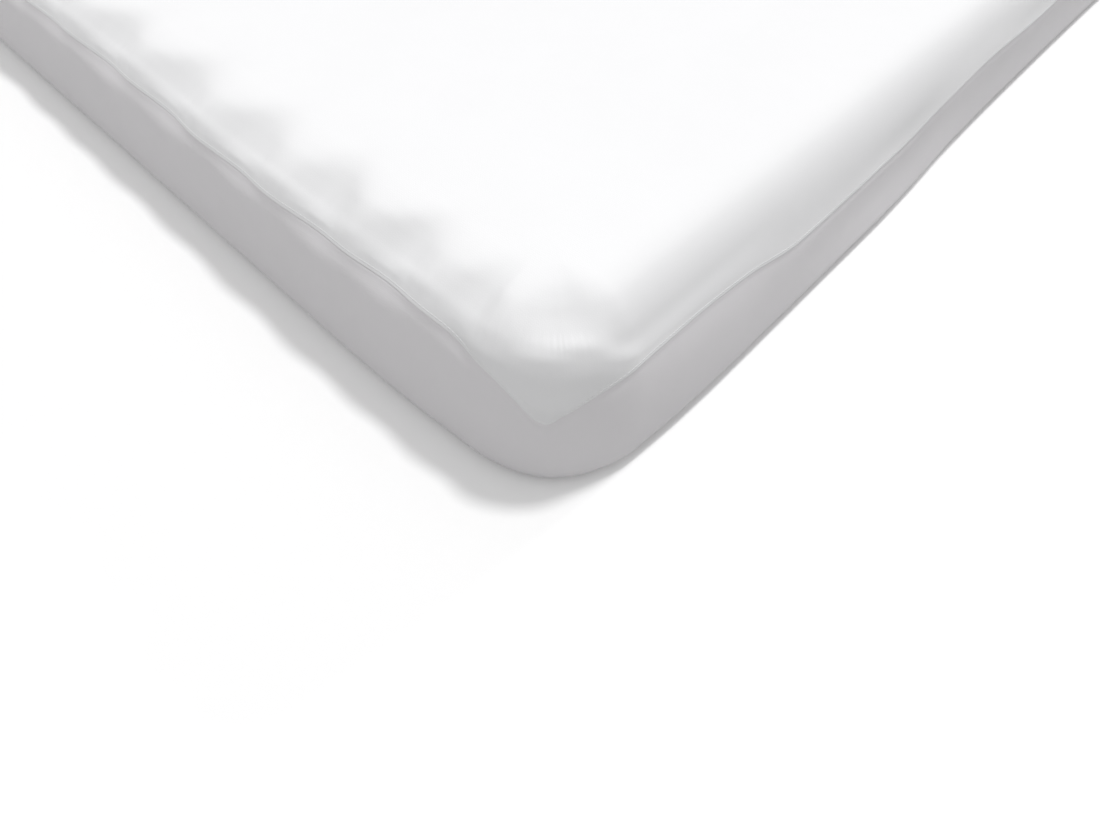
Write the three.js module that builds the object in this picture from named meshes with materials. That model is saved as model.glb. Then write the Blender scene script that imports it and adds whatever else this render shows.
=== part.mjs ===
// A waterproof mattress protector fitted on a double foam mattress.
// Millimetres, +Z up. The origin is on the floor, under the middle of the mattress.
// X runs across the bed, between the long sides, and Y along it, between the two ends.
//
// The top panel is one sheet that turns over the edge of the mattress. The skirt is one stretch
// band, lapped behind the panel's edge, that goes down the sides, round the bottom edge and a short
// way under the mattress, where it ends in its elasticated hem.

import * as THREE from 'three';

// Driving sizes
const MATTRESS_WIDTH = 1350;
const MATTRESS_LENGTH = 1900;
const MATTRESS_THICKNESS = 150;
const CROWN = 2;                // that the foam rises above its thickness, away from its edges
const PANEL_THICKNESS = 1.5;
const SKIRT_THICKNESS = 1.2;
const GAP = 0.3;                // between pieces that touch
const COVER_ROOM = 5;           // the cover's outside stands this far outside the mattress
const CORNER_RADIUS = 90;       // of the cover, seen from above
const HEM_INSET = 63;           // how far under the mattress the hem ends

const HALF_WIDTH = MATTRESS_WIDTH / 2 + COVER_ROOM;
const HALF_LENGTH = MATTRESS_LENGTH / 2 + COVER_ROOM;
const MATTRESS_TOP = MATTRESS_THICKNESS + CROWN;
const TOP = MATTRESS_TOP + GAP + PANEL_THICKNESS;

// A place along the edge is its distance from the middle of a corner: negative towards the middle
// of the end of the bed, positive towards the middle of the long side.
const HALF_ARC = CORNER_RADIUS * Math.PI / 4;
const END_MIDDLE = -(HALF_WIDTH - CORNER_RADIUS + HALF_ARC);
const SIDE_MIDDLE = HALF_LENGTH - CORNER_RADIUS + HALF_ARC;

// The seam between panel and skirt and the crease where the panel turns down, as inset and height,
// and the inset of the skirt's belly near the floor. Insets are measured in from the cover's
// greatest outline. The seam lies just under the ridge at the ends, dips to a point on the corner
// and sags along the sides.
const EDGE_LINES = [
  { at: END_MIDDLE, seam: [8.2, 131.7], crease: [12.6, 138.8], belly: 0.5 },
  { at: -540, seam: [8.6, 131.7], crease: [13.0, 138.8], belly: 0.0 },
  { at: -450, seam: [7.8, 131.7], crease: [12.2, 138.8], belly: 0.0 },
  { at: -360, seam: [5.4, 131.7], crease: [9.6, 138.8], belly: 0.0 },
  { at: -285, seam: [5.0, 131.7], crease: [9.2, 138.8], belly: 0.0 },
  { at: -230, seam: [6.2, 131.7], crease: [10.4, 138.8], belly: 0.0 },
  { at: -175, seam: [8.0, 131.7], crease: [12.4, 138.8], belly: 0.8 },
  { at: -126, seam: [9.6, 131.5], crease: [14.2, 138.4], belly: 3.0 },
  { at: -90, seam: [10.6, 129.0], crease: [15.4, 137.4], belly: 5.5 },
  { at: -70, seam: [10.9, 123.5], crease: [16.0, 136.2], belly: 7.0 },
  { at: -47, seam: [10.8, 113.5], crease: [16.4, 134.8], belly: 8.4 },
  { at: -28, seam: [10.0, 97.0], crease: [16.6, 133.4], belly: 8.0 },
  { at: -14, seam: [9.4, 80.5], crease: [16.6, 132.5], belly: 7.6 },
  { at: -6, seam: [9.3, 77.0], crease: [16.6, 132.0], belly: 7.4 },
  { at: 6, seam: [10.2, 84.5], crease: [16.6, 131.0], belly: 7.4 },
  { at: 34, seam: [12.0, 98.0], crease: [16.6, 122.5], belly: 7.2 },
  { at: 78, seam: [13.2, 103.0], crease: [16.0, 111.0], belly: 4.0 },
  { at: 128, seam: [13.2, 102.0], crease: [15.4, 109.0], belly: 1.0 },
  { at: 185, seam: [11.6, 99.0], crease: [13.8, 106.0], belly: 0.0 },
  { at: 256, seam: [8.0, 89.5], crease: [10.3, 96.5], belly: 0.0 },
  { at: 337, seam: [8.7, 87.5], crease: [11.0, 95.0], belly: 0.0 },
  { at: 428, seam: [10.8, 84.0], crease: [13.2, 92.0], belly: 0.0 },
  { at: 520, seam: [11.2, 94.0], crease: [13.6, 102.0], belly: 2.0 },
  { at: 612, seam: [12.5, 98.0], crease: [14.9, 106.0], belly: 6.3 },
  { at: 750, seam: [13.0, 92.0], crease: [15.4, 100.0], belly: 8.4 },
  { at: SIDE_MIDDLE, seam: [13.5, 96.0], crease: [15.9, 104.0], belly: 9.0 },
];

// The panel's section from its flat middle out to the lip, as inset and height: puffed or drawn
// in along the ends, softer on the bend of a corner, and one broad roll along the long sides.
// widens is the width of a trough in each row, as a share of its own.
const PANEL_SECTION = [
  { puff: [86, TOP], trough: [86, TOP], bend: [86, TOP], side: [86, TOP], widens: 0.5 },
  { puff: [59, 153.6], trough: [61, 152.5], bend: [66, 153.3], side: [60, 153.4], widens: 0.65 },
  { puff: [46, 152.9], trough: [50, 150.0], bend: [55, 151.5], side: [48, 151.9], widens: 0.8 },
  { puff: [34, 151.6], trough: [40.5, 146.3], bend: [45, 147.6], side: [38.5, 148.0], widens: 0.95 },
  { puff: [24.5, 149.9], trough: [31, 141.6], bend: [36, 142.8], side: [30.5, 140.8], widens: 1.1 },
  { puff: [16.5, 147.8], trough: [22.5, 137.4], bend: [28, 139.0], side: [24, 131.0], widens: 1.2 },
  { puff: [9.7, 145.2], trough: [14, 133.9], bend: [20.5, 135.6], side: [19, 119.5], widens: 1.25 },
];
const LIP = PANEL_SECTION[PANEL_SECTION.length - 1];
const END_CREASE = [5, 138.8];  // for which the sections of the ends are drawn
const SIDE_CREASE = [13, 110];  // and those of the sides, which follow it half as much

// How far each row follows the crease, as shares of its shift in inset and in height.
const FOLLOWS = [[0, 0], [0.15, 0.05], [0.3, 0.12], [0.5, 0.25], [0.7, 0.45], [0.85, 0.7], [1, 1]];
const TROUGH_PULL = [6, -7];    // that a full trough draws the crease and the seam in and down
const END_FROM = 2;             // where the corner's section starts to turn into the end's
const END_BLEND = 48;           // from there to the end's own section
const SIDE_FROM = 8;            // and the same towards the side
const SIDE_BLEND = 58;

// How much of its lean the skirt has left, a quarter of the way down from the seam to the belly:
// at the ends, by the corners and along the sides.
const SKIRT_BEND = { down: 0.25, endLean: 0.14, cornerLean: 0.56, sideLean: 0.9 };
const END_LEAN_FROM = -20;      // from a corner's middle to where its lean turns into the end's
const END_LEAN_BLEND = 60;
const SIDE_LEAN_FROM = 170;     // and into the side's
const SIDE_LEAN_BLEND = 230;
const BELLY_HEIGHT = 15;
const FLOOR_TURN = [4.5, 4.4];  // from the belly, where the skirt turns under the bottom edge
const FLOOR_INSET = 15;         // from the belly to where it lies on the floor
const LAP_EASE = 0.2;           // more than the gap, behind the turned-down edge of a corner
const LAP_SHARE = 0.7;          // of the way from seam to crease that the skirt reaches up behind
const FALL = 8;                 // below the seam, where the skirt comes out from behind the panel
const FALL_DEPTH = 0.4;

// Troughs that the tight skirt pulls in the panel's border along the ends: their places along
// the end from the corner, how fully each is drawn in, and how far it slants along the end.
const TROUGHS_NEAR = [
  { place: 94, width: 16, depth: 0.60, slant: -0.1 },
  { place: 158, width: 22, depth: 0.95, slant: -0.3 },
  { place: 240, width: 25, depth: 1.00, slant: 0.1 },
  { place: 332, width: 30, depth: 1.00, slant: -0.2 },
  { place: 441, width: 34, depth: 0.95, slant: -0.3 },
  { place: 560, width: 34, depth: 0.95, slant: -0.2 },
  { place: HALF_WIDTH, width: 30, depth: 0.7, slant: 0.0 },
];
const TROUGHS_FAR = [
  { place: 98, width: 18, depth: 0.6, slant: 0.1 },
  { place: 181, width: 24, depth: 0.9, slant: 0.3 },
  { place: 274, width: 27, depth: 1.0, slant: -0.3 },
  { place: 362, width: 30, depth: 0.9, slant: 0.2 },
  { place: 470, width: 36, depth: 1.0, slant: -0.1 },
  { place: 583, width: 28, depth: 0.8, slant: 0.0 },
  { place: HALF_WIDTH, width: 30, depth: 0.7, slant: 0.0 },
];
const SLANTS_FROM = 34;         // inset where a trough is at its place

// The four corners, in the order that a walk round the bed meets them.
const CORNERS = [
  { x: 1, y: -1, troughs: TROUGHS_NEAR },
  { x: 1, y: 1, troughs: TROUGHS_FAR },
  { x: -1, y: 1, troughs: TROUGHS_NEAR },
  { x: -1, y: -1, troughs: TROUGHS_FAR },
];

// Stations round a corner and along the side, where the troughs have none.
const CORNER_STATIONS = [-47, -28, -14, -6, 6, 20, 34, 56, 78, 128];
const SIDE_STATIONS = [185, 256, 337, 428, 612, 750];
const TROUGH_FLANK = 0.9;       // of a trough's width, from its middle to a station on each side

function smooth(share) {
  const s = Math.min(Math.max(share, 0), 1);
  return s * s * (3 - 2 * s);
}

function mix(from, to, share) {
  return from + (to - from) * share;
}

// Smooth curve through one column of the edge lines, with no overshoot between its rows.
function makeColumn(pick) {
  const at = EDGE_LINES.map((row) => row.at);
  const value = EDGE_LINES.map(pick);
  const grade = value.slice(1).map((v, i) => (v - value[i]) / (at[i + 1] - at[i]));
  const tangent = value.map((_, i) => {
    const before = grade[i - 1];
    const after = grade[i];
    return before * after > 0 ? 2 * before * after / (before + after) : 0;
  });
  return (place) => {
    let i = 0;
    while (i < grade.length - 1 && place > at[i + 1]) i += 1;
    const span = at[i + 1] - at[i];
    const t = Math.min(Math.max((place - at[i]) / span, 0), 1);
    const u = 1 - t;
    return (1 + 2 * t) * u * u * value[i] + t * u * u * span * tangent[i]
      + t * t * (3 - 2 * t) * value[i + 1] - t * t * u * span * tangent[i + 1];
  };
}

const seamInset = makeColumn(({ seam }) => seam[0]);
const seamHeight = makeColumn(({ seam }) => seam[1]);
const creaseInset = makeColumn(({ crease }) => crease[0]);
const creaseHeight = makeColumn(({ crease }) => crease[1]);
const bellyInset = makeColumn(({ belly }) => belly);

// How far a row of the section is drawn in from puff to trough.
function drawnIn(along, inset, widens, troughs) {
  const left = troughs.reduce((share, { place, width, depth, slant }) => {
    const offset = (along - place - slant * (inset - SLANTS_FROM)) / (width * widens);
    return share * (1 - depth * Math.exp(-offset * offset));
  }, 1);
  return 1 - left;
}

// How much of the end's and of the side's own section a place has, next to the corner's.
function sectionShares(place) {
  return { end: smooth((END_FROM - place) / END_BLEND), side: smooth((place - SIDE_FROM) / SIDE_BLEND) };
}

// Distance along the end, from the outline of the long side, of a place on the edge.
function alongEnd(place) {
  return CORNER_RADIUS - place - HALF_ARC;
}

// The crease and the seam of the panel, as drawn in and down by the troughs.
function edgePoints(place, troughs) {
  const drawn = drawnIn(alongEnd(place), LIP.puff[0], LIP.widens, troughs);
  const pull = sectionShares(place).end * drawn;
  const [inwards, up] = TROUGH_PULL;
  return {
    crease: [creaseInset(place) + pull * inwards, creaseHeight(place) + pull * up],
    seam: [seamInset(place) + pull * inwards, seamHeight(place) + pull * up],
  };
}

// Sections are [inset, height] points, walked from the middle of the top outwards and down.
function panelSection(place, troughs) {
  const shares = sectionShares(place);
  const line = [creaseInset(place), creaseHeight(place)];
  const fromEnd = [line[0] - END_CREASE[0], line[1] - END_CREASE[1]];
  const fromSide = [line[0] - SIDE_CREASE[0], Math.max(line[1] - SIDE_CREASE[1], 0)];
  const points = PANEL_SECTION.map(({ puff, trough, bend, side, widens }, row) => {
    const drawn = drawnIn(alongEnd(place), puff[0], widens, troughs);
    return [0, 1].map((k) => {
      const toEnd = mix(puff[k], trough[k], drawn) - bend[k];
      const shift = shares.end * fromEnd[k] + shares.side * fromSide[k] / 2;
      return bend[k] + toEnd * shares.end + (side[k] - bend[k]) * shares.side + FOLLOWS[row][k] * shift;
    });
  });
  const { crease, seam } = edgePoints(place, troughs);
  return [...points, crease, seam];
}

// Outward normal of the straight stretch between two points of a section.
function stretchNormal([insetA, heightA], [insetB, heightB]) {
  const length = Math.hypot(insetB - insetA, heightB - heightA);
  return [(heightB - heightA) / length, (insetA - insetB) / length];
}

// The same section moved in by a depth, each stretch parallel to itself.
function movedIn(points, depth) {
  const normals = points.slice(1).map((point, i) => stretchNormal(points[i], point));
  return points.map(([inset, height], i) => {
    const before = normals[Math.max(i - 1, 0)];
    const after = normals[Math.min(i, normals.length - 1)];
    const sum = [before[0] + after[0], before[1] + after[1]];
    const scale = 2 * depth / (sum[0] * sum[0] + sum[1] * sum[1]);
    return [inset - sum[0] * scale, height - sum[1] * scale];
  });
}

// The skirt's outer face, from its lap behind the panel down to the hem under the mattress.
function skirtSection(place, troughs) {
  const { crease, seam } = edgePoints(place, troughs);
  const [, behindSeam] = movedIn([crease, seam], PANEL_THICKNESS + GAP + LAP_EASE);
  const lap = [0, 1].map((k) => behindSeam[k] + (crease[k] - seam[k]) * LAP_SHARE);
  const belly = bellyInset(place);
  const end = smooth((END_LEAN_FROM - place) / END_LEAN_BLEND);
  const side = smooth((place - SIDE_LEAN_FROM) / SIDE_LEAN_BLEND);
  const { down, endLean, cornerLean, sideLean } = SKIRT_BEND;
  const lean = cornerLean + (endLean - cornerLean) * end + (sideLean - cornerLean) * side;
  const bend = [mix(belly, seam[0], lean), mix(seam[1], BELLY_HEIGHT, down)];
  const fallShare = FALL / (seam[1] - bend[1]);
  const fall = [mix(seam[0], bend[0], fallShare) + FALL_DEPTH, seam[1] - FALL];
  return [
    lap,
    behindSeam,
    fall,
    bend,
    [belly, BELLY_HEIGHT],
    [belly + FLOOR_TURN[0], FLOOR_TURN[1]],
    [belly + FLOOR_INSET, 0],
    [HEM_INSET, 0],
  ];
}

// The foam mattress inside: a plain block with rounded edges, eased in and down from each row of
// the cloth above. Its underside is flat on the floor and stands off over the hem.
const MATTRESS_EASE = [[2, 2.2], [5, 6], [5, 10], [5, 15], [5, 18], [6, 20], [7, 20], [8, 21]];
const MATTRESS_BELLY = 22;      // height where its side starts to turn under
const MATTRESS_TURN = [5, 9];   // half way round the turn, from its side and from the floor
const HEM_ROOM = 3.4;           // under the mattress, over the hem

function mattressSection(place) {
  const over = panelSection(place, []);
  const upper = MATTRESS_EASE.map(([inwards, down], row) => [over[row][0] + inwards, over[row][1] - down]);
  const crease = upper[upper.length - 1];
  const side = bellyInset(place) + COVER_ROOM;
  return [
    ...upper,
    [mix(crease[0], side, 0.5), mix(crease[1], MATTRESS_BELLY, 0.5)],
    [side, MATTRESS_BELLY],
    [side + MATTRESS_TURN[0], MATTRESS_TURN[1]],
    [side + FLOOR_INSET, HEM_ROOM],
    [HEM_INSET - 6, HEM_ROOM],
    [HEM_INSET + 8, 0],
  ];
}

// A point of a section, set at its place along the edge of one corner of the bed.
function placePoint([inset, height], place, corner) {
  const turn = Math.min(Math.max(place, -HALF_ARC), HALF_ARC) / CORNER_RADIUS;
  const angle = 1.25 * Math.PI + turn;
  const radius = CORNER_RADIUS - inset;
  const fromEnd = CORNER_RADIUS + radius * Math.cos(angle) + Math.max(place - HALF_ARC, 0);
  const fromSide = CORNER_RADIUS + radius * Math.sin(angle) + Math.max(-place - HALF_ARC, 0);
  return [corner.x * (HALF_WIDTH - fromSide), corner.y * (HALF_LENGTH - fromEnd), height];
}

// The stations of one corner, from the middle of the end to just before the middle of the side.
function cornerStations({ troughs }) {
  const stations = [END_MIDDLE, ...CORNER_STATIONS, ...SIDE_STATIONS, SIDE_MIDDLE];
  for (const { place, width } of troughs) {
    for (const side of [-1, 0, 1]) {
      const along = place + side * TROUGH_FLANK * width;
      if (along < HALF_WIDTH - 1) stations.push(CORNER_RADIUS - along - HALF_ARC);
    }
  }
  return stations.sort((a, b) => a - b);
}

// One walk round the bed, anticlockwise from above, as a list of places on their corners.
function walk(step = 1) {
  return CORNERS.flatMap((corner, number) => {
    const isUsed = (_, i, all) => i % step === 0 || i === all.length - 1;
    const stations = cornerStations(corner).filter(isUsed);
    const ordered = number % 2 === 0 ? stations : stations.reverse();
    return ordered.slice(0, -1).map((place) => ({ place, corner }));
  });
}

// Loops of points, one for each row of the section, that makeSection gives for every station.
function makeLoops(stations, makeSection) {
  const sections = stations.map(({ place, corner }) => (
    makeSection(place, corner).map((point) => placePoint(point, place, corner))));
  return sections[0].map((_, row) => sections.map((section) => section[row]));
}

// A closed body from loops walked outwards and down. Poles close its two ends, and with none
// the last loop joins the first again, as in a ring. From the loop where the walk turns back,
// each four-sided patch is cut along its other diagonal, so that both faces of a cloth match.
function makeBody(loops, turnBack, poles = []) {
  const points = [...loops.flat(), ...poles];
  const count = loops[0].length;
  const faces = [];
  const rings = poles.length ? loops.length - 1 : loops.length;
  for (let ring = 0; ring < rings; ring += 1) {
    const above = ring * count;
    const below = ((ring + 1) % loops.length) * count;
    for (let i = 0; i < count; i += 1) {
      const next = (i + 1) % count;
      if (ring < turnBack) {
        faces.push(above + i, below + i, below + next);
        faces.push(above + i, below + next, above + next);
      } else {
        faces.push(above + i, below + i, above + next);
        faces.push(below + i, below + next, above + next);
      }
    }
  }
  if (poles.length) {
    const last = (loops.length - 1) * count;
    const [firstPole, lastPole] = [loops.length * count, loops.length * count + 1];
    for (let i = 0; i < count; i += 1) {
      const next = (i + 1) % count;
      faces.push(firstPole, i, next);
      faces.push(lastPole, last + next, last + i);
    }
  }
  const geometry = new THREE.BufferGeometry();
  geometry.setAttribute('position', new THREE.Float32BufferAttribute(points.flat(), 3));
  geometry.setIndex(faces);
  geometry.computeVertexNormals();
  return geometry;
}

// Both faces of a cloth section, out along the outer face and back along the inner one.
function bothFaces(section, thickness) {
  return [...section, ...movedIn(section, thickness).reverse()];
}

function makeMattress() {
  const loops = makeLoops(walk(2), (place) => mattressSection(place));
  return makeBody(loops, loops.length, [[0, 0, MATTRESS_TOP], [0, 0, 0]]);
}

function makeTopPanel() {
  const section = (place, { troughs }) => bothFaces(panelSection(place, troughs), PANEL_THICKNESS);
  const loops = makeLoops(walk(), section);
  return makeBody(loops, loops.length / 2, [[0, 0, TOP], [0, 0, TOP - PANEL_THICKNESS]]);
}

function makeSkirt() {
  const section = (place, { troughs }) => bothFaces(skirtSection(place, troughs), SKIRT_THICKNESS);
  const loops = makeLoops(walk(), section);
  return makeBody(loops, loops.length / 2);
}

const foamTicking = new THREE.MeshStandardMaterial({ color: 0xe9e6df, roughness: 0.9, metalness: 0 });
const toppingCloth = new THREE.MeshStandardMaterial({ color: 0xf7f7f8, roughness: 0.85, metalness: 0 });
const stretchKnit = new THREE.MeshStandardMaterial({ color: 0xefeef0, roughness: 0.8, metalness: 0 });

function makePiece(name, geometry, material) {
  const mesh = new THREE.Mesh(geometry, material);
  mesh.name = name;
  return mesh;
}

const protector = new THREE.Group();
protector.add(makePiece('mattress', makeMattress(), foamTicking));
protector.add(makePiece('top_panel', makeTopPanel(), toppingCloth));
protector.add(makePiece('skirt', makeSkirt(), stretchKnit));

export default protector;
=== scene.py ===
"""A waterproof mattress protector fitted on a double foam mattress.

The cover's edge is worked out from sections. A section is a row of (inset, height) points in
millimetres, walked from the flat of the top outwards and down, and a walk round the bed sets a
section at each of its stations.
"""

from types import SimpleNamespace

import bpy
import numpy as np
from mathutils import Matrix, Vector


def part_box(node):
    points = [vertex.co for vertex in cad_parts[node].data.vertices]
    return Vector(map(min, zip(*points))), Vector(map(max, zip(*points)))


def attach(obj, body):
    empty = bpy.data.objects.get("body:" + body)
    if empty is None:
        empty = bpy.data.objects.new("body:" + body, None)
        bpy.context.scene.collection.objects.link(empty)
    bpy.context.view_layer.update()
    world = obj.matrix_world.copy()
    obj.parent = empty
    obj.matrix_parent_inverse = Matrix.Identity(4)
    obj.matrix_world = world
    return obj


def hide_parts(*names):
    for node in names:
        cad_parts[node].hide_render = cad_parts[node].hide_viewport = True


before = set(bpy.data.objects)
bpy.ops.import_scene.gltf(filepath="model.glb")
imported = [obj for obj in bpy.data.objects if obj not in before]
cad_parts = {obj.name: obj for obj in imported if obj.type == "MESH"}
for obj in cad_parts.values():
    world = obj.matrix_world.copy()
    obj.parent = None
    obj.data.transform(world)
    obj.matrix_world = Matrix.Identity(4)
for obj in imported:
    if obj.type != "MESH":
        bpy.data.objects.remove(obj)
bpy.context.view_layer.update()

# ---------------------------------------------------------------------------------------------
# The mattress: a plain block of foam in a knitted ticking, with rounded edges and corners.
# The cover hides all but the middle of its underside, which is flat on the floor.
# It lies loose inside the cover and holds the cover's shape.

MM = 0.001
CORNER_RADIUS = 90.0  # of the cover's outline, seen from above
HEM_INSET = 63.0  # how far under the mattress the cover's hem ends
MATTRESS_SIDE_INSET = 18.0  # of the mattress's sides inside the cover's greatest outline
MATTRESS_EDGE = (84.0, 60.0)  # width and height of its rounded top edge
MATTRESS_TURN = (16.0, 18.0)  # and of the turn under its bottom edge
MATTRESS_CORNER = 4.0  # least radius of its corners, at the rim of its top
MATTRESS_HEM_ROOM = 3.4  # that it stands off the floor over the hem
MATTRESS_STEP = (HEM_INSET - 4, HEM_INSET + 8)  # from where to where it comes down to the floor
TICKING_RIB_MM = 2.4  # between the ribs of the ticking's knit
TICKING_PALE = "EFECE5"
TICKING_DARK = "E3DFD6"
FUZZ_SIZE_MM = 1.1  # of the fuzz on every cloth here
MOTTLE_SIZE_MM = 60.0  # of the patches where a cloth turns from pale to dark
COURSES_PER_RIB = 1.25  # loops along a rib, in the distance between two ribs

skirt_low, skirt_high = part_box("skirt")
HALF_WIDTH = skirt_high.x / MM
HALF_LENGTH = skirt_high.y / MM
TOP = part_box("top_panel")[1].z / MM
MATTRESS_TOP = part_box("mattress")[1].z / MM

# A place along the edge is its distance from the middle of a corner: negative towards the middle
# of the end of the bed, positive towards the middle of the long side.
HALF_ARC = CORNER_RADIUS * np.pi / 4
END_MIDDLE = -(HALF_WIDTH - CORNER_RADIUS + HALF_ARC)
SIDE_MIDDLE = HALF_LENGTH - CORNER_RADIUS + HALF_ARC
PERIMETER = 4 * (SIDE_MIDDLE - END_MIDDLE)
CORNERS = ((1, -1), (1, 1), (-1, 1), (-1, -1))  # signs of x and y, anticlockwise from above


def smooth(share):
    """3s^2 - 2s^3 of the share s held between 0 and 1: an eased step."""
    share = np.clip(share, 0, 1)
    return share * share * (3 - 2 * share)


def corner_places(spacing, growth):
    """Places along one corner's reach, from the middle of the end to the middle of the side.

    place = spacing / growth * sinh(u), with u in equal steps, so that stations are the spacing
    apart at the corner and further apart away from it. Their number is even.
    """
    first, last = np.arcsinh(np.array([END_MIDDLE, SIDE_MIDDLE]) * growth / spacing)
    steps = 2 * round((last - first) / growth / 2)
    return spacing / growth * np.sinh(np.linspace(first, last, steps + 1))


def walk_round(near, far):
    """Stations round the bed, anticlockwise from above, from the middle of the end at -Y.

    near and far are the spacing and growth of the corner at +X -Y and of the other three. The
    walk holds, for each station, its place, the signs and the number of its corner, and the
    distance walked along the outline.
    """
    place, x, y, number, walked = [], [], [], [], []
    for count, (sign_x, sign_y) in enumerate(CORNERS):
        places = corner_places(*(far if count else near))
        places = places[::-1] if count % 2 else places
        place.append(places[:-1])
        x.append(np.full(len(places) - 1, sign_x))
        y.append(np.full(len(places) - 1, sign_y))
        number.append(np.full(len(places) - 1, count))
        walked.append(count * PERIMETER / 4 + np.abs(places[:-1] - places[0]))
    names = ("place", "x", "y", "number", "walked")
    columns = (np.concatenate(part) for part in (place, x, y, number, walked))
    return SimpleNamespace(**dict(zip(names, columns)))


def edge_angle(walk):
    """The way out from a corner's centre: 5/8 of a turn, and place / R on from its middle."""
    return 1.25 * np.pi + np.clip(walk.place, -HALF_ARC, HALF_ARC) / CORNER_RADIUS


def set_out(walk, inset, height):
    """Section points at their stations, as x, y and z in millimetres.

    On the straight stretches the inset is taken square to the edge, and on a corner along the
    radius: from_end = R + (R - inset) * cos(angle) and from_side = R + (R - inset) * sin(angle).
    """
    angle = edge_angle(walk)
    radius = CORNER_RADIUS - inset
    from_end = CORNER_RADIUS + radius * np.cos(angle) + np.maximum(walk.place - HALF_ARC, 0)
    from_side = CORNER_RADIUS + radius * np.sin(angle) + np.maximum(-walk.place - HALF_ARC, 0)
    across = walk.x * (HALF_WIDTH - from_side)
    along = walk.y * (HALF_LENGTH - from_end)
    return np.stack([across, along, height + 0 * inset], axis=-1)


def band_faces(steps, columns):
    """Faces between neighbouring loops of a grid of points whose loops are walked outwards and
    down. Each loop takes every station or every second one, as its step says. Loops of one step
    are joined by four-sided faces, and loops of two steps by three triangles for each pair."""
    quads, triangles = [], []
    for row, (above, below) in enumerate(zip(steps, steps[1:])):
        a = row * columns + np.arange(0, columns - 1, max(above, below))
        b = a + columns
        if above == below:
            quads.append(np.stack([a, b, b + above, a + above], axis=1))
        elif above > below:
            triangles += [
                np.stack(corner, axis=1)
                for corner in ((a, b, b + 1), (a, b + 1, a + 2), (a + 2, b + 1, b + 2))
            ]
        else:
            triangles += [
                np.stack(corner, axis=1)
                for corner in ((a, b, a + 1), (a + 1, b, b + 2), (a + 1, b + 2, a + 2))
            ]
    return quads, triangles


def closed_body(name, loops, steps, chart, poles=()):
    """A closed mesh from loops of points in millimetres, shaped (rows, stations, 3).

    chart gives each point's place in the cloth's own flat plane, shaped (rows, stations + 1, 2),
    in metres, and becomes the UV map. With poles, two fans close the first and last loop, and
    without them the last loop joins the first again, as in a ring.
    """
    rows, stations = loops.shape[:2]
    columns = stations + 1
    ring = len(poles) == 0
    quads, triangles = band_faces([*steps, steps[0]] if ring else steps, columns)
    points = loops.reshape(-1, 3)
    charted = chart.reshape(-1, 2)
    if ring:
        charted = np.concatenate([charted, chart[:1].reshape(-1, 2)])
    else:
        points = np.concatenate([points, poles])
        charted = np.concatenate([charted, np.array(poles)[:, :2] * MM])
        first = np.arange(0, columns - 1, steps[0])
        last = (rows - 1) * columns + np.arange(0, columns - 1, steps[-1])
        pole = np.full(len(first), rows * columns)
        triangles.append(np.stack([pole, first, first + steps[0]], axis=1))
        pole = np.full(len(last), rows * columns + 1)
        triangles.append(np.stack([pole, last + steps[-1], last], axis=1))
    faces = [np.concatenate(group) for group in (quads, triangles) if group]
    corners = np.concatenate([group.ravel() for group in faces])
    row, column = np.divmod(corners, columns)
    wrapped = (row % rows) * stations + column % stations
    if not ring:
        beyond = corners >= rows * columns
        wrapped = np.where(beyond, corners - rows * columns + rows * stations, wrapped)
    used, wrapped = np.unique(wrapped, return_inverse=True)
    face_lists, start = [], 0
    for group in faces:
        face_lists += wrapped[start : start + group.size].reshape(group.shape).tolist()
        start += group.size
    mesh = bpy.data.meshes.new(name)
    mesh.from_pydata((points[used] * MM).tolist(), [], face_lists)
    uv = mesh.uv_layers.new(name="flat_cut")
    uv.data.foreach_set("uv", charted[corners].astype(np.float32).ravel())
    return finish_piece(name, mesh)


def finish_piece(name, mesh):
    """An object at the origin for a mesh whose place is in its points, with smooth shading."""
    mesh.polygons.foreach_set("use_smooth", np.ones(len(mesh.polygons), bool))
    mesh.validate()
    mesh.update()
    piece = bpy.data.objects.new(name, mesh)
    bpy.context.scene.collection.objects.link(piece)
    return piece


def linear(code):
    """The linear colour of an sRGB hex code: c / 12.92 below 0.04045, and otherwise
    ((c + 0.055) / 1.055) ^ 2.4."""
    channels = np.array([int(code[i : i + 2], 16) / 255 for i in (0, 2, 4)])
    low = channels / 12.92
    high = ((channels + 0.055) / 1.055) ** 2.4
    return (*np.where(channels <= 0.04045, low, high).tolist(), 1.0)


def add_node(tree, kind, settings=(), **links):
    """A node with its settings, whose inputs are given by name: a socket is linked to it, and
    any other value is set on it. An input such as i0 is named by its number."""
    node = tree.nodes.new(kind)
    for key, value in dict(settings).items():
        setattr(node, key, value)
    for key, value in links.items():
        by_number = key[0] == "i" and key[1:].isdigit()
        socket = node.inputs[int(key[1:]) if by_number else key.replace("_", " ")]
        if isinstance(value, bpy.types.NodeSocket):
            tree.links.new(value, socket)
        else:
            socket.default_value = value
    return node


def bare_tree(owner):
    """The node tree of a new material or world, emptied."""
    owner.use_nodes = True
    owner.node_tree.nodes.clear()
    return owner.node_tree


def calculate(tree, operation, *values, use_clamp=False):
    """The result of a Math node whose inputs are the values, in order."""
    inputs = {f"i{number}": value for number, value in enumerate(values)}
    settings = {"operation": operation, "use_clamp": use_clamp}
    return add_node(tree, "ShaderNodeMath", settings, **inputs).outputs[0]


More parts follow.
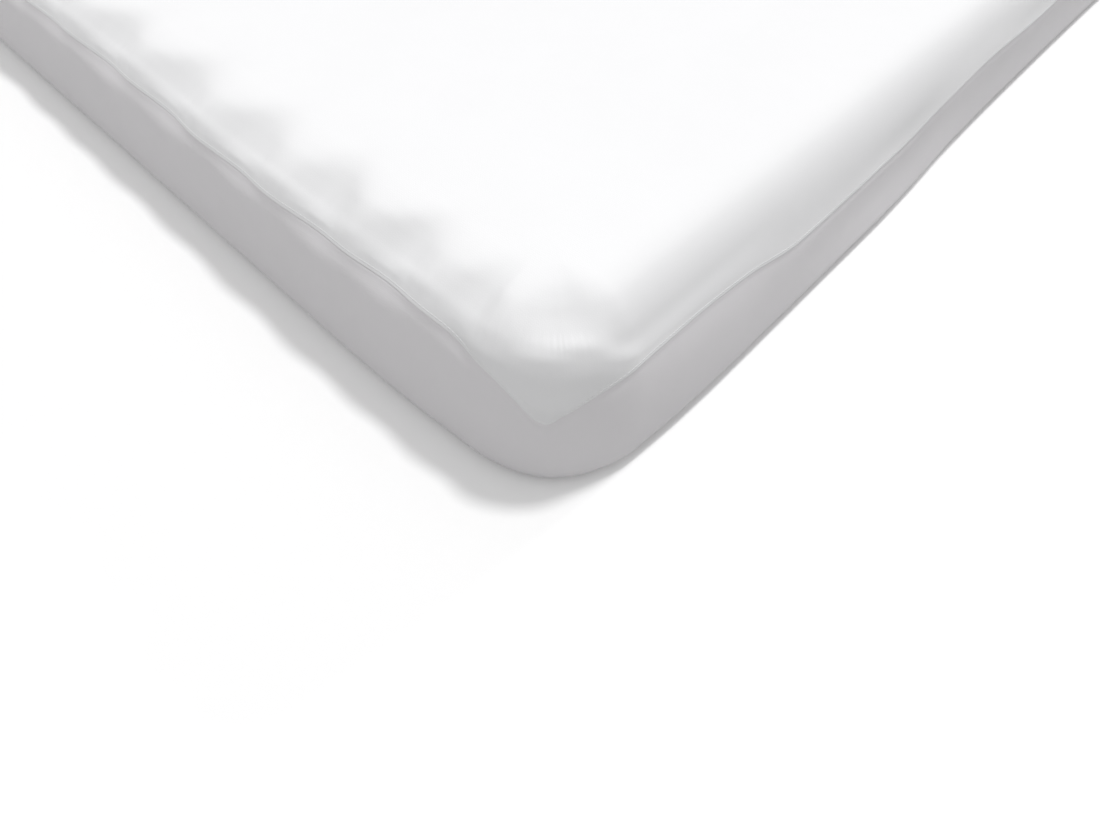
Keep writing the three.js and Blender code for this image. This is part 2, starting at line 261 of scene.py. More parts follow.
def cloth_material(name, pale, dark, roughness, sheen, rib, rib_depth, fuzz_depth):
    """A knitted cloth: ribs of loops along the cloth's length, with the fine fuzz of its fibres.

    rib is the distance between ribs in metres, and lean is the distance, in ribs, from the
    nearest edge of one. The height is lean + sin(2 pi (courses + lean)) / 2, so that the loops
    lean to both sides of a rib.
    """
    material = bpy.data.materials.new(name)
    tree = bare_tree(material)
    cut = add_node(tree, "ShaderNodeUVMap", {"uv_map": "flat_cut"}).outputs["UV"]
    place = add_node(tree, "ShaderNodeTexCoord").outputs["Object"]
    u, v, _ = add_node(tree, "ShaderNodeSeparateXYZ", Vector=cut).outputs
    lean = calculate(tree, "PINGPONG", calculate(tree, "MULTIPLY", u, 1 / rib), 0.5)
    course = calculate(tree, "MULTIPLY_ADD", v, COURSES_PER_RIB / rib, lean)
    loops = calculate(tree, "SINE", calculate(tree, "MULTIPLY", course, 2 * np.pi))
    knit = calculate(tree, "MULTIPLY_ADD", loops, 0.5, lean)
    fuzz_scale, mottle_scale = 1 / (FUZZ_SIZE_MM * MM), 1 / (MOTTLE_SIZE_MM * MM)
    fuzz = add_node(
        tree, "ShaderNodeTexNoise", Vector=place, Scale=fuzz_scale, Detail=3.0, Roughness=0.6
    ).outputs[0]
    mottle = add_node(
        tree, "ShaderNodeTexNoise", Vector=place, Scale=mottle_scale, Detail=4.0, Roughness=0.55
    ).outputs[0]
    knit_bump = add_node(
        tree, "ShaderNodeBump", Strength=1.0, Distance=rib_depth, Height=knit
    ).outputs[0]
    fuzz_bump = add_node(
        tree, "ShaderNodeBump", Strength=1.0, Distance=fuzz_depth, Height=fuzz, Normal=knit_bump
    ).outputs[0]
    colour = add_node(
        tree,
        "ShaderNodeMix",
        {"data_type": "RGBA"},
        i0=mottle,
        i6=linear(dark),
        i7=linear(pale),
    ).outputs[2]
    surface = add_node(
        tree,
        "ShaderNodeBsdfPrincipled",
        Base_Color=colour,
        Roughness=roughness,
        Specular_IOR_Level=0.25,
        Sheen_Weight=sheen,
        Sheen_Roughness=0.5,
        Normal=fuzz_bump,
    )
    add_node(tree, "ShaderNodeOutputMaterial", Surface=surface.outputs[0])
    return material


def mattress_section():
    """The mattress's section: a quarter of an ellipse over the top edge, a straight side, a
    quarter turn under it, and a low step down to the floor inside the hem."""
    width, height = MATTRESS_EDGE
    turn = np.linspace(np.pi / 2, 0, 12)
    edge_inset = MATTRESS_SIDE_INSET + width * (1 - np.cos(turn))
    edge_rise = MATTRESS_TOP - height * (1 - np.sin(turn))
    width, height = MATTRESS_TURN
    turn = np.linspace(0, np.pi / 2, 6)
    turn_inset = MATTRESS_SIDE_INSET + width * (1 - np.cos(turn))
    turn_rise = MATTRESS_HEM_ROOM + height * (1 - np.sin(turn))
    step = np.linspace(0, 1, 5)
    step_from, step_to = MATTRESS_STEP
    step_inset = step_from + step * (step_to - step_from)
    step_rise = MATTRESS_HEM_ROOM * (1 - smooth(step))
    inset = np.concatenate([edge_inset, turn_inset, step_inset])
    return inset, np.concatenate([edge_rise, turn_rise, step_rise])


mattress_walk = walk_round((11, 0.03), (11, 0.03))
mattress_inset, mattress_height = (part[:, None] for part in mattress_section())
mattress_inset = np.minimum(mattress_inset, CORNER_RADIUS - MATTRESS_CORNER)
mattress_loops = set_out(
    mattress_walk, mattress_inset + 0 * mattress_walk.place, mattress_height
)
mattress_chart = np.concatenate([mattress_loops, mattress_loops[:, :1]], axis=1)[..., :2] * MM
mattress = closed_body(
    "mattress_foam",
    mattress_loops,
    [1] * len(mattress_loops),
    mattress_chart,
    poles=[(0, 0, MATTRESS_TOP), (0, 0, 0)],
)
# Knitted polyester ticking: matt, a little yellow, with ribs that show as faint lines.
mattress.data.materials.append(
    cloth_material(
        "Knitted polyester ticking",
        TICKING_PALE,
        TICKING_DARK,
        roughness=0.9,
        sheen=0.1,
        rib=TICKING_RIB_MM * MM,
        rib_depth=0.25 * MM,
        fuzz_depth=0.12 * MM,
    )
)
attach(mattress, "root")
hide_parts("mattress")

# ---------------------------------------------------------------------------------------------
# The top panel: one sheet of brushed cotton knit backed with a thin waterproof film, cut with
# rounded corners. It lies on the mattress, turns over its edge in a soft roll and is sewn to the
# skirt, which pulls soft troughs in its border along the ends and puckers its edge.

PANEL_THICKNESS = 1.5
EDGE_THICKNESS = 0.25  # at the seam, where the cloth is pressed flat
EDGE_DROP = 0.15  # that the cut edge hangs below its outer corner
PANEL_PALE = "F8F8F9"
PANEL_DARK = "F5F5F6"
PANEL_RIB_MM = 1.8  # real loops are 0.9 mm apart, drawn twice as coarse so that they show

# The seam between panel and skirt, the crease where the panel turns down, and the skirt's belly
# near the floor: inset and height at each place along the edge.
EDGE_LINES = np.array(
    [
        # place, seam inset, seam height, crease inset, crease height, belly inset
        (END_MIDDLE, 8.2, 131.7, 12.6, 138.8, 0.5),
        (-540, 8.6, 131.7, 13.0, 138.8, 0.0),
        (-450, 7.8, 131.7, 12.2, 138.8, 0.0),
        (-360, 5.4, 131.7, 9.6, 138.8, 0.0),
        (-285, 5.0, 131.7, 9.2, 138.8, 0.0),
        (-230, 6.2, 131.7, 10.4, 138.8, 0.0),
        (-175, 8.0, 131.7, 12.4, 138.8, 0.8),
        (-126, 9.6, 131.5, 14.2, 138.4, 3.0),
        (-90, 10.6, 129.0, 15.4, 137.4, 5.5),
        (-70, 10.9, 123.5, 16.0, 136.2, 7.0),
        (-47, 10.8, 113.5, 16.4, 134.8, 8.4),
        (-28, 10.0, 97.0, 16.6, 133.4, 8.0),
        (-14, 9.4, 80.5, 16.6, 132.5, 7.6),
        (-6, 9.3, 77.0, 16.6, 132.0, 7.4),
        (6, 10.2, 84.5, 16.6, 131.0, 7.4),
        (34, 12.0, 98.0, 16.6, 125.0, 7.2),
        (52, 12.7, 101.2, 16.3, 117.0, 6.0),
        (78, 13.2, 103.0, 16.0, 111.0, 4.0),
        (128, 13.2, 102.0, 15.4, 109.0, 1.0),
        (185, 11.6, 99.0, 13.8, 106.0, 0.0),
        (256, 8.0, 89.5, 10.3, 96.5, 0.0),
        (337, 8.7, 87.5, 11.0, 95.0, 0.0),
        (428, 10.8, 84.0, 13.2, 92.0, 0.0),
        (520, 11.2, 94.0, 13.6, 102.0, 2.0),
        (612, 12.5, 98.0, 14.9, 106.0, 6.3),
        (750, 13.0, 92.0, 15.4, 100.0, 8.4),
        (SIDE_MIDDLE, 13.5, 96.0, 15.9, 104.0, 9.0),
    ]
)

# The panel's section from its flat middle out to the lip: puffed or drawn in along the ends,
# softer on the corners, and one broad roll along the long sides.
PANEL_SECTION = np.array(
    [
        # inset and height: a puff and a trough at the ends, on the corners, along the sides
        (86, TOP, 86, TOP, 86, TOP, 86, TOP),
        (73, TOP - 0.1, 73, TOP - 0.3, 77, TOP - 0.1, 74, TOP - 0.1),
        (59, 153.6, 61, 152.5, 66, 153.3, 60, 153.4),
        (46, 152.9, 50, 150.0, 55, 151.5, 48, 151.9),
        (34, 151.6, 40.5, 146.3, 45, 147.6, 38.5, 148.0),
        (24.5, 149.9, 31, 141.6, 36, 142.8, 30.5, 140.8),
        (16.5, 147.8, 22.5, 137.4, 28, 139.0, 24, 131.0),
        (9.7, 145.2, 14, 133.9, 20.5, 135.6, 19, 119.5),
    ]
)
END_CREASE = (5.0, 138.8)  # for which the sections of the ends are drawn
SIDE_CREASE = (13.0, 110.0)  # and those of the sides, which follow it half as much
FOLLOWS = np.array(
    [
        # shares of the crease's shift in inset and in height, row by row
        (0, 0),
        (0.05, 0),
        (0.15, 0.05),
        (0.3, 0.12),
        (0.5, 0.25),
        (0.7, 0.45),
        (0.85, 0.7),
        (1, 1),
    ]
)
TROUGH_PULL = (6.0, -7.0)  # that a full trough draws the crease and the seam in and down
END_FROM = 2.0  # where the corner's section starts to turn into the end's
END_BLEND = 48.0  # from there to the end's own section
SIDE_FROM = 8.0  # and the same towards the side
SIDE_BLEND = 58.0
FOLD_BELOW = 6.5  # under the crease, where the turned-down edge is straight again
FOLD_SHARE = 0.45  # of the way down to the seam, where the edge is too narrow for that
FOLD_BULGE = 1.8  # that it stands out there where the edge hangs low on a corner
SEAM_ROW = 0.35  # from the seam to the last row above it, so that the rim stays narrow
PANEL_SAMPLES = (2, 4, 4, 5, 5, 4, 4, 4, 4, 9, 1)  # points in each stretch of the section
PANEL_DENSE_FROM = 24  # row from which every station is used
PANEL_INNER_ROWS = (24, 20, 15, 10, 5, 0)  # that the inner face has above the lip
PLATEAU_SHARES = (0.12, 0.3, 0.46, 0.6, 0.72, 0.82, 0.9, 0.96)  # of the way to the flat's rim
PLATEAU_UNDER_SHARES = (0.9, 0.5, 0.12)  # and the same for the inner face
PLATEAU_RIM = 0.12  # share of the way in from the rim, over which the flat sinks fully
PLATEAU_UNDER_RIM = 0.1
SWELL_HEIGHT = 0.35  # of the slow waves of the flat
SWELL_SUNK = 1.6  # times that height that the flat lies below its rim
MIDDLE_SUNK = 0.6  # that its very middle does
UNDER_SUNK = 1.1  # and that the inner face does

# Troughs that the tight skirt pulls in the border along the ends: place along the end from the
# corner, width, how fully the section is drawn in, and how far it leans along the end.
TROUGHS_NEAR = (
    (94, 16, 0.60, -0.1),
    (158, 22, 0.95, -0.3),
    (240, 25, 1.00, 0.1),
    (332, 30, 1.00, -0.2),
    (441, 34, 0.95, -0.3),
    (560, 34, 0.95, -0.2),
    (HALF_WIDTH, 30, 0.7, 0.0),
)
TROUGHS_FAR = (
    (98, 18, 0.6, 0.1),
    (181, 24, 0.9, 0.3),
    (274, 27, 1.0, -0.3),
    (362, 30, 0.9, 0.2),
    (470, 36, 1.0, -0.1),
    (583, 28, 0.8, 0.0),
    (HALF_WIDTH, 30, 0.7, 0.0),
)
TROUGH_WIDENS = (0.5, 0.55, 0.65, 0.8, 0.95, 1.1, 1.2, 1.25)  # a share of its width, row by row
TROUGH_LEANS_FROM = 34.0  # inset where it is at its place
PUFFS = ((31.0, 0.5), (17.0, 0.3), (11.0, 0.2))  # wavelength and share of the lip's small puffs
PUFF_DEPTH = 0.45
PUFF_REACH = (14.0, 8.0)  # up and down from the lip, over which they fade out
PUCKERS = ((6.1, 0.5), (3.7, 0.5))  # and of the fine puckers on the bend of a corner
PUCKER_DEPTH = 0.22
PUCKER_END_SHARE = 0.25  # of their depth along the ends
PUCKER_REACH = (7.0, 5.0)
PUCKER_BEND = (4.0, 17.0)  # place and width of the bend where they are deepest
EDGE_SUNK = 0.25  # that the panel's edge is drawn in at the seam
EDGE_SUNK_WIDTH = 3.2
SEAM_BEAD = 3.0  # that the folded edge stands proud on the points of the corners
SEAM_BEAD_TIP = (-5.0, 22.0)  # its place and width along the edge
SEAM_BEAD_UP = (5.0, 3.6)  # its middle and width up from the seam


def edge_line(column, place):
    """A column of the edge lines at any place: cubic pieces through its rows, whose slope at a
    row is the harmonic mean of the two grades beside it, and level where they turn."""
    at, value = EDGE_LINES[:, 0], EDGE_LINES[:, column]
    span = np.diff(at)
    grade = np.diff(value) / span
    product = grade[:-1] * grade[1:]
    total = np.where(product > 0, grade[:-1] + grade[1:], 1)
    slope = np.concatenate([[0], np.where(product > 0, 2 * product / total, 0), [0]])
    i = np.clip(np.searchsorted(at, place) - 1, 0, len(span) - 1)
    t = np.clip((place - at[i]) / span[i], 0, 1)
    u = 1 - t
    start = u * u * ((1 + 2 * t) * value[i] + t * span[i] * slope[i])
    return start + t * t * ((3 - 2 * t) * value[i + 1] - u * span[i] * slope[i + 1])


def uneven(walked, waves, seed):
    """A wavering line along the walk: the sum of share * sin(2 pi n w / P + drift + phase) over
    the waves, with a whole number n of waves in the perimeter P, so that it closes. The drift is
    a slow sine of its own, so the waves are never quite even."""
    total = 0
    for count, (wavelength, share) in enumerate(waves):
        turn = 2 * np.pi * walked / PERIMETER
        phase = 1.7 * seed + 2.4 * count
        drift = 2.2 * np.sin(round(PERIMETER / wavelength / 6.3) * turn + 1.3 * phase)
        total = total + share * np.sin(round(PERIMETER / wavelength) * turn + drift + phase)
    return total


def spline(rows, samples):
    """A curve through the rows of every section, with so many points in each stretch.

    Each stretch is a cubic Hermite piece. The slope at a row is the mean of the two stretches
    beside it, each weighted by the other's length, so the curve hardly overshoots.
    """
    span = np.linalg.norm(np.diff(rows, axis=0), axis=-1)[..., None]
    grade = np.diff(rows, axis=0) / span
    inner = (grade[:-1] * span[1:] + grade[1:] * span[:-1]) / (span[1:] + span[:-1])
    slope = np.concatenate([grade[:1], inner, grade[-1:]])
    points = []
    for i, count in enumerate(samples):
        t = (np.arange(count) / count)[:, None, None]
        u = 1 - t
        start = u * u * ((1 + 2 * t) * rows[i] + t * span[i] * slope[i])
        points.append(start + t * t * ((3 - 2 * t) * rows[i + 1] - u * span[i] * slope[i + 1]))
    return np.concatenate([*points, rows[-1:]])


def section_normals(points):
    """Outward normals of sections, square to the chord between each point's two neighbours."""
    along = np.gradient(points, axis=0)
    normal = np.stack([along[..., 1], -along[..., 0]], axis=-1)
    return normal / np.linalg.norm(normal, axis=-1, keepdims=True)


def arc_length(points):
    """Distance along each section from its first row."""
    steps = np.linalg.norm(np.diff(points, axis=0), axis=-1)
    return np.concatenate([0 * steps[:1], np.cumsum(steps, axis=0)])


def blends(walk):
    """How much of the section is the end's and how much the side's."""
    end = smooth((END_FROM - walk.place) / END_BLEND)
    return end, smooth((walk.place - SIDE_FROM) / SIDE_BLEND)


def drawn_in(walk):
    """How far each row of the section is drawn in from a puff to a trough: what all the troughs
    leave of a puff is the product of 1 - depth * exp(-offset^2), where
    offset = (along - place - lean * (inset - from)) / (width * widens)."""
    along = CORNER_RADIUS - HALF_ARC - walk.place
    inset = PANEL_SECTION[:, :1]
    widens = np.array(TROUGH_WIDENS)[:, None]
    left = 1 + 0 * inset * along
    for table, corners in ((TROUGHS_NEAR, (0, 2)), (TROUGHS_FAR, (1, 3))):
        here = np.isin(walk.number, corners)
        for place, width, depth, lean in table:
            offset = (along - place - lean * (inset - TROUGH_LEANS_FROM)) / (width * widens)
            left = left * (1 - here * depth * np.exp(-offset * offset))
    return 1 - left


def edge_points(walk):
    """The crease and the seam at each station, as drawn in and down by the troughs."""
    pull = (blends(walk)[0] * drawn_in(walk)[-1])[:, None] * TROUGH_PULL
    crease = np.stack([edge_line(3, walk.place), edge_line(4, walk.place)], axis=-1)
    seam = np.stack([edge_line(1, walk.place), edge_line(2, walk.place)], axis=-1)
    return crease + pull, seam + pull


def hanging(turned, reach=16, start=0.2):
    """From 0 where the turned-down edge is narrow to 1 where it hangs low on a corner: an eased
    step of turned / reach - start."""
    return smooth(turned / reach - start)


def hump(at, middle, width):
    """exp(-((at - middle) / width)^2): 1 in the middle, and fading out to both sides."""
    return np.exp(-(((at - middle) / width) ** 2))


def panel_rows(walk):
    """The rows of the panel's section at each station: the table's sections blended along the
    edge, then the crease, the fold just below it, and the seam."""
    end, side = blends(walk)
    trough = drawn_in(walk)
    shares = [end * (1 - trough), end * trough, 1 - end - side + 0 * trough, side + 0 * trough]
    sections = PANEL_SECTION.reshape(-1, 4, 2)
    rows = np.einsum("srn,rsc->rnc", np.stack(shares), sections)
    crease, seam = edge_points(walk)
    line = np.stack([edge_line(3, walk.place), edge_line(4, walk.place)], axis=-1)
    shift = end[:, None] * (line - END_CREASE)
    beside = line - SIDE_CREASE
    beside[:, 1] = np.maximum(beside[:, 1], 0)
    shift += side[:, None] * beside / 2
    rows += FOLLOWS[:, None] * shift
    drop = np.linalg.norm(seam - crease, axis=-1, keepdims=True)
    fold = crease + (seam - crease) * np.minimum(FOLD_BELOW / drop, FOLD_SHARE)
    fold[:, :1] -= FOLD_BULGE * hanging(drop, reach=14, start=0.5) * (1 - side[:, None])
    below_fold = np.linalg.norm(fold - seam, axis=-1, keepdims=True)
    by_seam = seam + (fold - seam) * SEAM_ROW / below_fold
    return np.concatenate([rows, [crease, fold, by_seam, seam]])


def panel_relief(walk, arc, lip_arc, turned):
    """How far the panel stands proud of its plain section: small puffs and puckers that fade out
    both ways from the lip, the edge drawn in at the seam, and the rim of a corner's point."""
    end, _ = blends(walk)
    up, down = np.maximum(lip_arc - arc, 0), np.maximum(arc - lip_arc, 0)
    puff_reach, pucker_reach = (
        hump(up, 0, reach_up) * hump(down, 0, reach_down)
        for reach_up, reach_down in (PUFF_REACH, PUCKER_REACH)
    )
    puffs = PUFF_DEPTH * end * puff_reach * uneven(walk.walked, PUFFS, seed=1.0)
    bent = PUCKER_END_SHARE * end + hump(walk.place, *PUCKER_BEND)
    puckers = PUCKER_DEPTH * bent * pucker_reach * uneven(walk.walked, PUCKERS, seed=2.0)
    above_seam = arc[-1] - arc
    face = hanging(turned)
    sunk = EDGE_SUNK * face * hump(above_seam, 0, EDGE_SUNK_WIDTH)
    tip = hump(walk.place, *SEAM_BEAD_TIP)
    bead = SEAM_BEAD * tip * face * hump(above_seam, *SEAM_BEAD_UP)
    return puffs + puckers - sunk + bead


def low_swell(x, y):
    """Slow waves of the flat that never line up:
    sin(x / 97 + 0.7) * sin(y / 131 + 1.9) + 0.6 * sin(x / 61 + y / 83 + 0.4)."""
    crossed = np.sin(x / 97 + 0.7) * np.sin(y / 131 + 1.9)
    return crossed + 0.6 * np.sin(x / 61 + y / 83 + 0.4)


panel_walk = walk_round((1.15, 0.0034), (3.4, 0.0060))
panel_outer = spline(panel_rows(panel_walk), PANEL_SAMPLES)
lip_row, crease_row, fold_row = (sum(PANEL_SAMPLES[:last]) for last in (-4, -3, -2))
panel_arc = arc_length(panel_outer)
panel_turned = panel_arc[-1] - panel_arc[crease_row]
panel_normal = section_normals(panel_outer)
relief = panel_relief(panel_walk, panel_arc, panel_arc[lip_row], panel_turned)
panel_outer = panel_outer + panel_normal * relief[..., None]
panel_normal = section_normals(panel_outer)

# The inner face follows every few rows, the cloth's thickness in from the outer one.
inner_rows = [len(panel_outer) - 1, fold_row, crease_row, lip_row, *PANEL_INNER_ROWS]
panel_edge = panel_outer[-1:] - panel_normal[-1:] * EDGE_THICKNESS / 2
panel_edge[..., 1] -= EDGE_DROP
panel_inner = (panel_outer - panel_normal * PANEL_THICKNESS)[inner_rows]
panel_inner[0] += panel_normal[-1] * (PANEL_THICKNESS - EDGE_THICKNESS)
panel_section = np.concatenate([panel_outer, panel_edge, panel_inner])
panel_border = set_out(panel_walk, panel_section[..., 0], panel_section[..., 1])

# The flat of the top: smaller and smaller copies of its rim, with a low swell here and there.
shares = np.array(PLATEAU_SHARES)[:, None]
plateau = panel_border[:1] * shares[..., None]
sunk = SWELL_HEIGHT * (SWELL_SUNK + low_swell(plateau[..., 0], plateau[..., 1]))
plateau[..., 2] = TOP - sunk * smooth((1 - shares) / PLATEAU_RIM)
under_shares = np.array(PLATEAU_UNDER_SHARES)[:, None]
plateau_under = panel_border[-1:] * under_shares[..., None]
sunk = UNDER_SUNK * smooth((1 - under_shares) / PLATEAU_UNDER_RIM)
plateau_under[..., 2] = TOP - PANEL_THICKNESS - sunk
panel_loops = np.concatenate([plateau, panel_border, plateau_under])

# The flat cut: the rim of the flat, and from there each point as far out as the cloth is long.
angle = edge_angle(panel_walk)
outwards = np.stack([-panel_walk.x * np.sin(angle), -panel_walk.y * np.cos(angle)], axis=-1)
outer_arc = arc_length(panel_outer)
cut_arc = np.concatenate([outer_arc, outer_arc[-1:], outer_arc[inner_rows]])[..., None]
cut_border = panel_border[0, :, :2] + outwards * cut_arc
panel_cut = np.concatenate([plateau[..., :2], cut_border, plateau_under[..., :2]]) * MM
panel_chart = np.concatenate([panel_cut, panel_cut[:, :1]], axis=1)

panel_steps = [2] * (len(PLATEAU_SHARES) + PANEL_DENSE_FROM)
panel_steps += [1] * (len(panel_outer) - PANEL_DENSE_FROM + 1)
panel_steps += [2] * (len(inner_rows) + len(PLATEAU_UNDER_SHARES))
top_panel = closed_body(
    "top_panel_cloth",
    panel_loops,
    panel_steps,
    panel_chart,
    poles=[(0, 0, TOP - MIDDLE_SUNK), (0, 0, TOP - PANEL_THICKNESS - UNDER_SUNK)],
)
# Brushed cotton jersey on a waterproof film: matt white, soft to the light at its edges.
panel_cloth = cloth_material(
    "Brushed cotton jersey on waterproof film",
    PANEL_PALE,
    PANEL_DARK,
    roughness=0.92,
    sheen=0.12,
    rib=PANEL_RIB_MM * MM,
    rib_depth=0.012 * MM,
    fuzz_depth=0.05 * MM,
)
top_panel.data.materials.append(panel_cloth)
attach(top_panel, "root")
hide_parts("top_panel")

# ---------------------------------------------------------------------------------------------
# The seam's stitches: one row of white polyester thread along the panel's edge, through the
# panel and the skirt behind it. Each stitch is a short bow of thread whose ends go into the cloth.

SEAM_STITCH_ABOVE = 2.6  # from the seam to the row of stitches
STITCH_PITCH = 3.4
STITCH_LENGTH = 2.7
THREAD_RADIUS = 0.2
THREAD_TWIST_MM = 2.2  # size of the ridges of its twist
THREAD_WHITE = "F4F4F5"
STITCH_SIDES = 5
STITCH_ROWS = np.array(
    [
        # along half a stitch from its middle, and in radii how high it bows and how thick it is
        (-1.0, -1.1, 0.55),
        (-0.62, 0.45, 1.0),
        (0.62, 0.45, 1.0),
        (1.0, -1.1, 0.55),
    ]
)


def thread_material(name, colour):
    """Twisted thread: pale, a little glossy, with the fine ridges of its twist as a bump."""
    material = bpy.data.materials.new(name)
    tree = bare_tree(material)
    place = add_node(tree, "ShaderNodeTexCoord").outputs["Object"]
    scale = 1 / (THREAD_TWIST_MM * MM)
    twist = add_node(
        tree, "ShaderNodeTexWave", Vector=place, Scale=scale, Distortion=1.0
    ).outputs[1]
    bump = add_node(
        tree, "ShaderNodeBump", Strength=1.0, Distance=0.03 * MM, Height=twist
    ).outputs[0]
    surface = add_node(
        tree,
        "ShaderNodeBsdfPrincipled",
        Base_Color=linear(colour),
        Roughness=0.55,
        Specular_IOR_Level=0.3,
        Sheen_Weight=0.1,
        Normal=bump,
    )
    add_node(tree, "ShaderNodeOutputMaterial", Surface=surface.outputs[0])
    return material


def row_of_stitches(name, line, normals, material):
    """Stitches along a closed line of points in millimetres, with the cloth's normals there.

    Stitch n is centred n + 1/2 pitches along the line, and its rings of points stand round a
    centre that is lifted off the cloth by the thread's radius times the height of its row.
    """
    steps = np.linalg.norm(np.diff(line, axis=0, append=line[:1]), axis=1)
    walked = np.concatenate([[0], np.cumsum(steps)])
    count = round(walked[-1] / STITCH_PITCH)
    middles = (np.arange(count) + 0.5) * walked[-1] / count
    along, height, thick = STITCH_ROWS.T
    at = middles[:, None] + along * STITCH_LENGTH / 2
    closed_line, closed_normals = (np.concatenate([part, part[:1]]) for part in (line, normals))
    centre, up = (
        np.stack([np.interp(at, walked, column) for column in part.T], axis=-1)
        for part in (closed_line, closed_normals)
    )
    centre = centre + up * (height * THREAD_RADIUS)[:, None]
    forward = centre[:, -1:] - centre[:, :1]
    across = np.cross(forward, up)
    across /= np.linalg.norm(across, axis=-1, keepdims=True)
    above = np.cross(across, forward)
    above /= np.linalg.norm(above, axis=-1, keepdims=True)
    turn = np.arange(STITCH_SIDES)[:, None] * 2 * np.pi / STITCH_SIDES
    rings = np.cos(turn) * across[:, :, None] + np.sin(turn) * above[:, :, None]
    rings = centre[:, :, None] + rings * (thick * THREAD_RADIUS)[:, None, None]
    size = len(STITCH_ROWS) * STITCH_SIDES
    first = np.arange(count)[:, None, None] * size
    a = np.arange(len(STITCH_ROWS) - 1)[:, None] * STITCH_SIDES + np.arange(STITCH_SIDES)
    b = np.roll(a, -1, axis=1)
    sides = np.stack([a, a + STITCH_SIDES, b + STITCH_SIDES, b], axis=-1).reshape(1, -1, 4)
    cap = np.arange(STITCH_SIDES)
    caps = np.stack([cap, size - 1 - cap])[None]
    mesh = bpy.data.meshes.new(name)
    faces = (first + sides).reshape(-1, 4).tolist()
    faces += (first + caps).reshape(-1, STITCH_SIDES).tolist()
    mesh.from_pydata((rings.reshape(-1, 3) * MM).tolist(), [], faces)
    stitches = finish_piece(name, mesh)
    stitches.data.materials.append(material)
    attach(stitches, "root")
    return stitches


# The row's points on the panel, found in each section by the distance from its seam.
stitch_arc = panel_arc[-1] - SEAM_STITCH_ABOVE
next_row = np.sum(panel_arc < stitch_arc, axis=0)[None]
arc_before, arc_after = (np.take_along_axis(panel_arc, next_row - back, 0) for back in (1, 0))
share = ((stitch_arc - arc_before) / (arc_after - arc_before))[0, :, None]
(before, after), (normal_before, normal_after) = (
    [np.take_along_axis(part, (next_row - back)[..., None], 0)[0] for back in (1, 0)]
    for part in (panel_outer, panel_normal)
)
stitch_section = before + (after - before) * share
stitch_normal = normal_before + (normal_after - normal_before) * share
stitch_normal = np.concatenate([-outwards * stitch_normal[:, :1], stitch_normal[:, 1:]], axis=-1)
white_thread = thread_material("White polyester thread", THREAD_WHITE)
seam_stitches = row_of_stitches(
    "seam_stitches",
    set_out(panel_walk, stitch_section[:, 0], stitch_section[:, 1]),
    stitch_normal,
    white_thread,
)


# ---------------------------------------------------------------------------------------------
# The skirt: one long band of thin stretch knit, closed into a ring. Its upper edge is lapped
# behind the panel's edge and sewn there. It is stretched down the sides and round the bottom
# edge, and its hem, with an elastic inside, draws it in under the mattress in small gathers.

SKIRT_THICKNESS = 1.2
GAP = 0.15  # between pieces that touch
SKIRT_PALE = "F0EEF0"
SKIRT_DARK = "ECEAEC"
SKIRT_RIB_MM = 1.5  # real wales are 0.7 mm apart, drawn twice as coarse so that they show
SKIRT_SHARES = np.array(
    [
        # down the skirt, and its lean still left there at the ends, by the corners and along
        # the sides
        (0.10, 0.50, 0.84, 0.96),
        (0.25, 0.14, 0.56, 0.90),
        (0.50, 0.02, 0.26, 0.70),
        (0.84, 0.00, 0.02, 0.20),
    ]
)
END_LEAN_FROM = -20.0  # from a corner's middle to where its lean starts to turn into the end's
END_LEAN_BLEND = 60.0
SIDE_LEAN_FROM = 170.0  # and into the side's
SIDE_LEAN_BLEND = 230.0
BELLY_HEIGHT = 15.0
FLOOR_TURN = (4.5, 4.4)  # from the belly, where the skirt turns under the bottom edge
FLOOR_INSET = 15.0  # from the belly to where it lies on the floor
LAP = 2.4  # that the skirt reaches up behind the seam
LAP_BACK = 1.3  # and back, where the panel is thicker
FALL = 4.0  # below the seam, where the skirt comes out from behind the panel
FALL_SHARE = 0.8  # of its step in behind the panel's face that it still has there
HEM_WIDTH = 13.0  # of the casing that holds the elastic
GATHERS = ((14.5, 0.55), (10.2, 0.45))  # wavelength and share
GATHER_HEIGHT = 0.75
GATHER_FROM = HEM_INSET - 34  # where the hem starts to rise in gathers
GATHER_BLEND = 30.0  # from there to their full height
GATHER_BELOW = 6.0  # height under which a point is part of the hem
HEM_STITCH_HEIGHT = 0.3  # least height of the hem's stitches
SKIRT_SAMPLES = (1, 3, 3, 4, 4, 4, 4, 4, 4, 5, 4)  # points in each stretch of the section
SKIRT_INNER_ROWS = (40, 38, 36, 33, 31, 27, 23, 19, 15, 11, 7, 4, 1, 0)  # from the hem back up
SKIRT_PLAIN_ROWS = range(5, 31)  # between seam and floor, where every second station is enough


